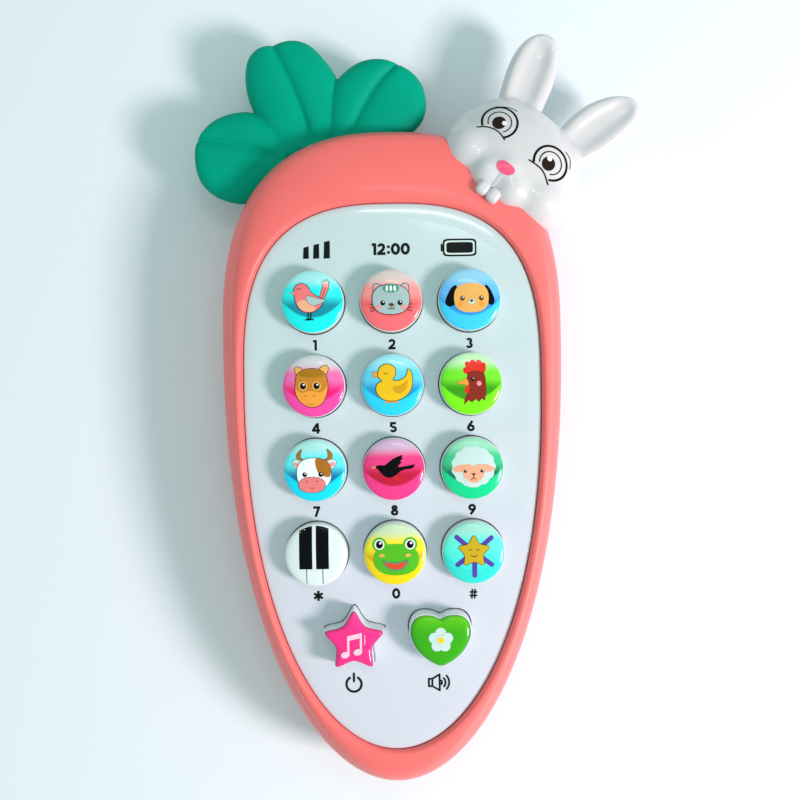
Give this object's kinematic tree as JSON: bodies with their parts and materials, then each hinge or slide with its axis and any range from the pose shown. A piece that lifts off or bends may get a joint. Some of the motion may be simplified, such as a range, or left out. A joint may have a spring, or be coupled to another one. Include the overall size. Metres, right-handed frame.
{
  "type": "toy cell phone",
  "caption": "Carrot-shaped toy cell phone for a toddler: push keys with animal pictures on a white panel, a soft leaf teether, a rabbit head and a battery door at the back.",
  "frame": {"origin": "on the flat back face, on the case's long axis, midway between the top and the tip of the coral case", "axes": "+X to the right of the front face, +Y up the face towards the leaves, +Z out of the front face"},
  "size_m": [0.1081, 0.1793, 0.03],
  "materials": {
    "coral_plastic": "smooth",
    "panel_plastic": "glossy",
    "leaf_rubber": "soft, satin",
    "white_plastic": "glossy",
    "silicone": "matte",
    "carbon": "matte",
    "board": "solder mask",
    "pad_plating": "plated",
    "chip_resin": "resin",
    "speaker_steel": "stamped",
    "magnet": "sintered",
    "cone_film": "film",
    "battery_jacket": "printed jacket",
    "spring_steel": "plated",
    "wire": "insulated",
    "screw_steel": "zinc plated",
    "key_1_label": "clear domed resin over a print",
    "key_2_label": "clear domed resin over a print",
    "key_3_label": "clear domed resin over a print",
    "key_4_label": "clear domed resin over a print",
    "key_5_label": "clear domed resin over a print",
    "key_6_label": "clear domed resin over a print",
    "key_7_label": "clear domed resin over a print",
    "key_8_label": "clear domed resin over a print",
    "key_9_label": "clear domed resin over a print",
    "key_asterisk_label": "clear domed resin over a print",
    "key_0_label": "clear domed resin over a print",
    "key_hash_label": "clear domed resin over a print",
    "star_key_label": "clear domed resin over a print",
    "heart_key_label": "clear domed resin over a print"
  },
  "bodies": {
    "case": {"front_shell": "coral_plastic", "back_shell": "coral_plastic", "face_panel": "panel_plastic", "leaf_teether": "leaf_rubber", "bunny_face": "white_plastic", "bunny_back": "white_plastic", "keypad_membrane": "silicone", "carbon_pills": "carbon", "main_board": "board", "contact_pads": "pad_plating", "sound_chip": "chip_resin", "speaker_frame": "speaker_steel", "speaker_magnet": "magnet", "speaker_cone": "cone_film", "battery_1": "battery_jacket", "battery_2": "battery_jacket", "battery_springs": "spring_steel", "battery_contacts": "spring_steel", "battery_wires": "wire", "speaker_wires": "wire", "case_screws": "screw_steel", "board_screws": "screw_steel", "bunny_screws": "screw_steel"},
    "key_1_press": {"key_1": "white_plastic", "key_1_label": "key_1_label"},
    "key_2_press": {"key_2": "white_plastic", "key_2_label": "key_2_label"},
    "key_3_press": {"key_3": "white_plastic", "key_3_label": "key_3_label"},
    "key_4_press": {"key_4": "white_plastic", "key_4_label": "key_4_label"},
    "key_5_press": {"key_5": "white_plastic", "key_5_label": "key_5_label"},
    "key_6_press": {"key_6": "white_plastic", "key_6_label": "key_6_label"},
    "key_7_press": {"key_7": "white_plastic", "key_7_label": "key_7_label"},
    "key_8_press": {"key_8": "white_plastic", "key_8_label": "key_8_label"},
    "key_9_press": {"key_9": "white_plastic", "key_9_label": "key_9_label"},
    "key_asterisk_press": {"key_asterisk": "white_plastic", "key_asterisk_label": "key_asterisk_label"},
    "key_0_press": {"key_0": "white_plastic", "key_0_label": "key_0_label"},
    "key_hash_press": {"key_hash": "white_plastic", "key_hash_label": "key_hash_label"},
    "star_key_press": {"star_key": "white_plastic", "star_key_label": "star_key_label"},
    "heart_key_press": {"heart_key": "white_plastic", "heart_key_label": "heart_key_label"},
    "door": {"battery_door": "coral_plastic", "door_screws": "screw_steel"}
  },
  "joints": [
    {"name": "key_1_slide", "type": "slide", "parent": "case", "child": "key_1_press", "axis": [0, 0, -1], "range_m": [0, 0.0012], "stiffness_N_per_m": 600, "deforming": ["keypad_membrane", "carbon_pills"]},
    {"name": "key_2_slide", "type": "slide", "parent": "case", "child": "key_2_press", "axis": [0, 0, -1], "range_m": [0, 0.0012], "stiffness_N_per_m": 600, "deforming": ["keypad_membrane", "carbon_pills"]},
    {"name": "key_3_slide", "type": "slide", "parent": "case", "child": "key_3_press", "axis": [0, 0, -1], "range_m": [0, 0.0012], "stiffness_N_per_m": 600, "deforming": ["keypad_membrane", "carbon_pills"]},
    {"name": "key_4_slide", "type": "slide", "parent": "case", "child": "key_4_press", "axis": [0, 0, -1], "range_m": [0, 0.0012], "stiffness_N_per_m": 600, "deforming": ["keypad_membrane", "carbon_pills"]},
    {"name": "key_5_slide", "type": "slide", "parent": "case", "child": "key_5_press", "axis": [0, 0, -1], "range_m": [0, 0.0012], "stiffness_N_per_m": 600, "deforming": ["keypad_membrane", "carbon_pills"]},
    {"name": "key_6_slide", "type": "slide", "parent": "case", "child": "key_6_press", "axis": [0, 0, -1], "range_m": [0, 0.0012], "stiffness_N_per_m": 600, "deforming": ["keypad_membrane", "carbon_pills"]},
    {"name": "key_7_slide", "type": "slide", "parent": "case", "child": "key_7_press", "axis": [0, 0, -1], "range_m": [0, 0.0012], "stiffness_N_per_m": 600, "deforming": ["keypad_membrane", "carbon_pills"]},
    {"name": "key_8_slide", "type": "slide", "parent": "case", "child": "key_8_press", "axis": [0, 0, -1], "range_m": [0, 0.0012], "stiffness_N_per_m": 600, "deforming": ["keypad_membrane", "carbon_pills"]},
    {"name": "key_9_slide", "type": "slide", "parent": "case", "child": "key_9_press", "axis": [0, 0, -1], "range_m": [0, 0.0012], "stiffness_N_per_m": 600, "deforming": ["keypad_membrane", "carbon_pills"]},
    {"name": "key_asterisk_slide", "type": "slide", "parent": "case", "child": "key_asterisk_press", "axis": [0, 0, -1], "range_m": [0, 0.0012], "stiffness_N_per_m": 600, "deforming": ["keypad_membrane", "carbon_pills"]},
    {"name": "key_0_slide", "type": "slide", "parent": "case", "child": "key_0_press", "axis": [0, 0, -1], "range_m": [0, 0.0012], "stiffness_N_per_m": 600, "deforming": ["keypad_membrane", "carbon_pills"]},
    {"name": "key_hash_slide", "type": "slide", "parent": "case", "child": "key_hash_press", "axis": [0, 0, -1], "range_m": [0, 0.0012], "stiffness_N_per_m": 600, "deforming": ["keypad_membrane", "carbon_pills"]},
    {"name": "star_key_slide", "type": "slide", "parent": "case", "child": "star_key_press", "axis": [0, 0, -1], "range_m": [0, 0.0012], "stiffness_N_per_m": 600, "deforming": ["keypad_membrane", "carbon_pills"]},
    {"name": "heart_key_slide", "type": "slide", "parent": "case", "child": "heart_key_press", "axis": [0, 0, -1], "range_m": [0, 0.0012], "stiffness_N_per_m": 600, "deforming": ["keypad_membrane", "carbon_pills"]},
    {"name": "door_lift", "type": "slide", "parent": "case", "child": "door", "axis": [0, 0, -1], "range_m": [0, 0.03]}
  ]
}
